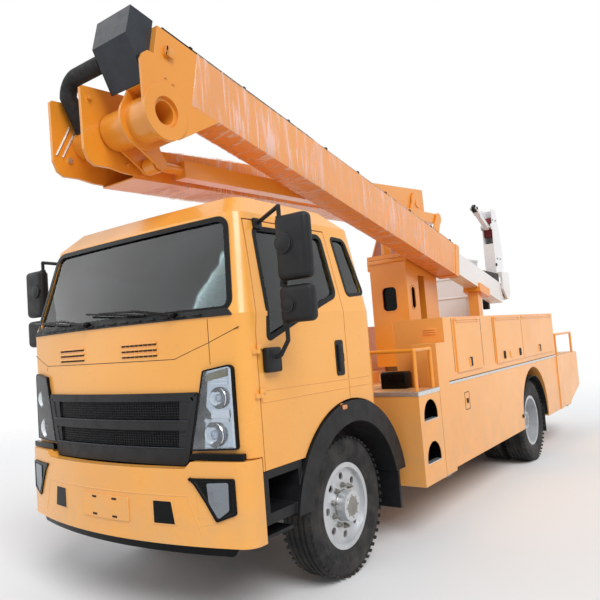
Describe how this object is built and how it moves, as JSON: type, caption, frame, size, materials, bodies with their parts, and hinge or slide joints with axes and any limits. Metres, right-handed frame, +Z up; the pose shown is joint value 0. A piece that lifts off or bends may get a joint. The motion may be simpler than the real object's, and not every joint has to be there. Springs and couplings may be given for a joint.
{
  "type": "cherry picker truck",
  "caption": "Cab-over truck with side lockers and a slewing two-boom aerial device that carries a work bucket and a small lifting jib.",
  "frame": {"origin": "on the ground under the middle of the truck, halfway along its length", "axes": "+X the truck's left, -Y its front, +Z up"},
  "size_m": [2.93, 7.9816, 3.9272],
  "materials": {
    "paint": "gloss",
    "cab_paint": "gloss",
    "body_paint": "painted gloss",
    "boom_paint": "gloss",
    "white_boom": "gloss",
    "frame_black": "satin",
    "engine": "matte",
    "black_plastic": "matte",
    "lamp": "gloss",
    "glass": "clear",
    "seat": "matte",
    "tyre": "matte",
    "rim": "satin",
    "steel": "satin",
    "deck": "satin",
    "hose": "matte",
    "bucket": "satin"
  },
  "bodies": {
    "truck": {"chassis_frame": "frame_black", "axles": "frame_black", "driveline": "engine", "side_tanks": "frame_black", "cab_shell": "cab_paint", "cab_glass": "glass", "grille": "black_plastic", "bumper": "cab_paint", "lamps": "lamp", "cab_interior": "seat", "cab_lower_trim": "black_plastic", "subframe": "deck", "outrigger_boxes": "paint", "step_boxes": "body_paint", "railings": "steel", "tail_body": "body_paint", "slew_ring": "steel", "locker_left": "body_paint", "locker_right": "body_paint"},
    "column": {"turret": "boom_paint"},
    "lower": {"lower_boom": "boom_paint"},
    "tie": {"tie_link": "boom_paint"},
    "elbow": {"elbow_knuckle": "steel", "elbow_hose": "hose"},
    "upper": {"upper_boom": "boom_paint", "elbow_box": "black_plastic"},
    "inner": {"inner_boom": "white_boom", "boom_shoe": "frame_black"},
    "tip": {"platform_bracket": "boom_paint"},
    "jib": {"jib_boom": "white_boom"},
    "platform": {"bucket": "bucket"},
    "barrel": {"lift_barrel": "frame_black"},
    "rod": {"lift_rod": "steel"},
    "steer_left": {"knuckle_left": "frame_black"},
    "front_wheel_left": {"front_tyre_left": "tyre", "front_rim_left": "rim"},
    "rear_wheels_left": {"rear_tyres_left": "tyre", "rear_rims_left": "rim"},
    "cab_door_left": {"door_left": "cab_paint", "door_glass_left": "glass", "mirrors_left": "black_plastic"},
    "hatch_left_1": {"lid_left_1": "body_paint"},
    "hatch_left_2": {"lid_left_2": "body_paint"},
    "hatch_left_3": {"lid_left_3": "body_paint"},
    "leg_front_left": {"jack_front_left": "steel"},
    "leg_rear_left": {"jack_rear_left": "steel"},
    "steer_right": {"knuckle_right": "frame_black"},
    "front_wheel_right": {"front_tyre_right": "tyre", "front_rim_right": "rim"},
    "rear_wheels_right": {"rear_tyres_right": "tyre", "rear_rims_right": "rim"},
    "cab_door_right": {"door_right": "cab_paint", "door_glass_right": "glass", "mirrors_right": "black_plastic"},
    "hatch_right_1": {"lid_right_1": "body_paint"},
    "hatch_right_2": {"lid_right_2": "body_paint"},
    "hatch_right_3": {"lid_right_3": "body_paint"},
    "leg_front_right": {"jack_front_right": "steel"},
    "leg_rear_right": {"jack_rear_right": "steel"}
  },
  "joints": [
    {"name": "slew", "type": "hinge", "parent": "truck", "child": "column", "pos_m": [0, 0.75, 1.29], "axis": [0, 0, 1], "continuous": true},
    {"name": "lower_lift", "type": "hinge", "parent": "column", "child": "lower", "pos_m": [0, 1.35, 3.43], "axis": [-1, 0, 0], "range_deg": [0, 75]},
    {"name": "tie_swing", "type": "hinge", "parent": "column", "child": "tie", "pos_m": [0.122, 1.58, 3.21], "axis": [-1, 0, 0], "range_deg": [0, 75]},
    {"name": "elbow_level", "type": "hinge", "parent": "lower", "child": "elbow", "pos_m": [0, -3.72, 3.25], "axis": [1, 0, 0], "range_deg": [0, 75]},
    {"name": "upper_fold", "type": "hinge", "parent": "elbow", "child": "upper", "pos_m": [0.395, -3.72, 3.25], "axis": [1, 0, 0], "range_deg": [0, 150]},
    {"name": "telescope", "type": "slide", "parent": "upper", "child": "inner", "axis": [0, 0.9781, -0.2079], "range_m": [0, 1.6]},
    {"name": "platform_level", "type": "hinge", "parent": "inner", "child": "tip", "pos_m": [0.395, 3.25183, 2.14125], "axis": [-1, 0, 0], "range_deg": [0, 150]},
    {"name": "jib_luff", "type": "hinge", "parent": "tip", "child": "jib", "pos_m": [0.37, 3.05183, 3.21125], "axis": [-1, 0, 0], "range_deg": [0, 45]},
    {"name": "bucket_tilt", "type": "hinge", "parent": "tip", "child": "platform", "pos_m": [0.12, 3.16, 2.3], "axis": [1, 0, 0], "range_deg": [0, 90]},
    {"name": "lift_swing", "type": "hinge", "parent": "column", "child": "barrel", "pos_m": [-0.12, 0.5, 1.5], "axis": [1, 0, 0], "range_deg": [-10, 20]},
    {"name": "lift_extend", "type": "slide", "parent": "barrel", "child": "rod", "axis": [0, 0.0452, 0.999], "range_m": [0, 1.065]},
    {"name": "steer_left", "type": "hinge", "parent": "truck", "child": "steer_left", "pos_m": [0.79, -2.65, 0.49], "axis": [0, 0, 1], "range_deg": [-35, 35]},
    {"name": "front_spin_left", "type": "hinge", "parent": "steer_left", "child": "front_wheel_left", "pos_m": [0.891, -2.65, 0.49], "axis": [1, 0, 0], "continuous": true},
    {"name": "rear_spin_left", "type": "hinge", "parent": "truck", "child": "rear_wheels_left", "pos_m": [1.057, 1.55, 0.49], "axis": [1, 0, 0], "continuous": true},
    {"name": "door_left", "type": "hinge", "parent": "truck", "child": "cab_door_left", "pos_m": [1.112, -3.664, 1.7], "axis": [0, 0, -1], "range_deg": [0, 70]},
    {"name": "hatch_left_1", "type": "hinge", "parent": "truck", "child": "hatch_left_1", "pos_m": [1.254, -0.59, 1.775], "axis": [0, -1, 0], "range_deg": [0, 110]},
    {"name": "hatch_left_2", "type": "hinge", "parent": "truck", "child": "hatch_left_2", "pos_m": [1.254, 0.695, 1.775], "axis": [0, -1, 0], "range_deg": [0, 110]},
    {"name": "hatch_left_3", "type": "hinge", "parent": "truck", "child": "hatch_left_3", "pos_m": [1.254, 1.925, 1.775], "axis": [0, -1, 0], "range_deg": [0, 110]},
    {"name": "jack_front_left", "type": "slide", "parent": "truck", "child": "leg_front_left", "axis": [0, 0, -1], "range_m": [0, 0.4]},
    {"name": "jack_rear_left", "type": "slide", "parent": "truck", "child": "leg_rear_left", "axis": [0, 0, -1], "range_m": [0, 0.4]},
    {"name": "steer_right", "type": "hinge", "parent": "truck", "child": "steer_right", "pos_m": [-0.79, -2.65, 0.49], "axis": [0, 0, 1], "range_deg": [-35, 35]},
    {"name": "front_spin_right", "type": "hinge", "parent": "steer_right", "child": "front_wheel_right", "pos_m": [-0.891, -2.65, 0.49], "axis": [1, 0, 0], "continuous": true},
    {"name": "rear_spin_right", "type": "hinge", "parent": "truck", "child": "rear_wheels_right", "pos_m": [-1.057, 1.55, 0.49], "axis": [1, 0, 0], "continuous": true},
    {"name": "door_right", "type": "hinge", "parent": "truck", "child": "cab_door_right", "pos_m": [-1.112, -3.664, 1.7], "axis": [0, 0, 1], "range_deg": [0, 70]},
    {"name": "hatch_right_1", "type": "hinge", "parent": "truck", "child": "hatch_right_1", "pos_m": [-1.254, -0.59, 1.775], "axis": [0, 1, 0], "range_deg": [0, 110]},
    {"name": "hatch_right_2", "type": "hinge", "parent": "truck", "child": "hatch_right_2", "pos_m": [-1.254, 0.695, 1.775], "axis": [0, 1, 0], "range_deg": [0, 110]},
    {"name": "hatch_right_3", "type": "hinge", "parent": "truck", "child": "hatch_right_3", "pos_m": [-1.254, 1.925, 1.775], "axis": [0, 1, 0], "range_deg": [0, 110]},
    {"name": "jack_front_right", "type": "slide", "parent": "truck", "child": "leg_front_right", "axis": [0, 0, -1], "range_m": [0, 0.4]},
    {"name": "jack_rear_right", "type": "slide", "parent": "truck", "child": "leg_rear_right", "axis": [0, 0, -1], "range_m": [0, 0.4]}
  ],
  "couplings": [
    {"joint": "tie_swing", "follows": "lower_lift", "ratio": 1},
    {"joint": "elbow_level", "follows": "lower_lift", "ratio": 1},
    {"joint": "platform_level", "follows": "upper_fold", "ratio": 1},
    {"joint": "lift_swing", "follows": "lower_lift", "ratio": 0.036},
    {"joint": "lift_extend", "follows": "lower_lift", "m_per_rad": 0.8056},
    {"joint": "steer_right", "follows": "steer_left", "ratio": 1}
  ]
}
